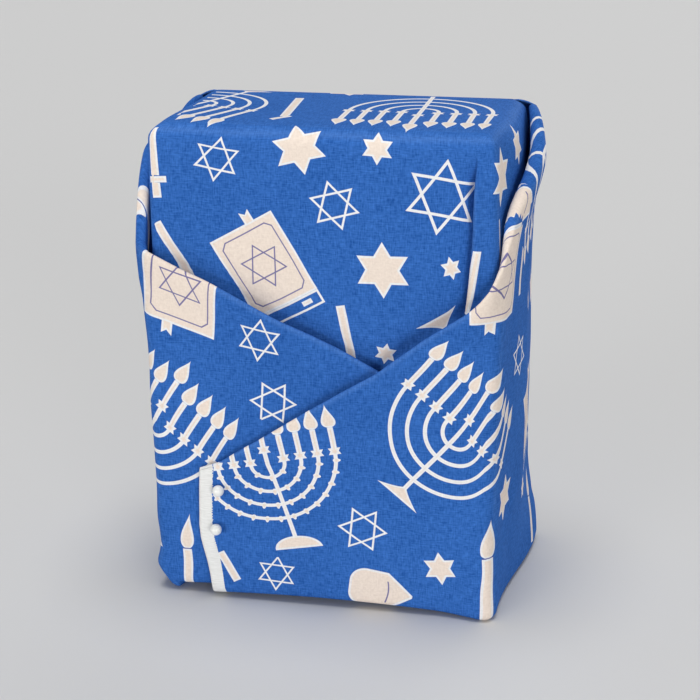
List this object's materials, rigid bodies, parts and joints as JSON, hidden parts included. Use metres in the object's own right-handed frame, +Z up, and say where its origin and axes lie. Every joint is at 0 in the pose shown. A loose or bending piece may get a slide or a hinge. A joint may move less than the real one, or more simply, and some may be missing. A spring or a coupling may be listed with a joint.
{
  "type": "furoshiki gift wrap",
  "caption": "Square printed cotton cloth folded round a box-shaped parcel, its crossed front flaps held by pearl-headed pins.",
  "frame": {"origin": "under the middle of the whole wrap, on the surface that it stands on", "axes": "+Z up, the pinned front faces -Y, +X to the right as seen from the front"},
  "size_m": [0.0996, 0.0614, 0.125],
  "materials": {
    "printed_cotton": "matt plain-weave cotton, blue with an off-white print and a white selvedge",
    "pearl_bead": "glossy white bead"
  },
  "bodies": {
    "root": {"wrap_cloth": "printed_cotton", "pin_upper": "pearl_bead", "pin_lower": "pearl_bead"}
  },
  "joints": []
}
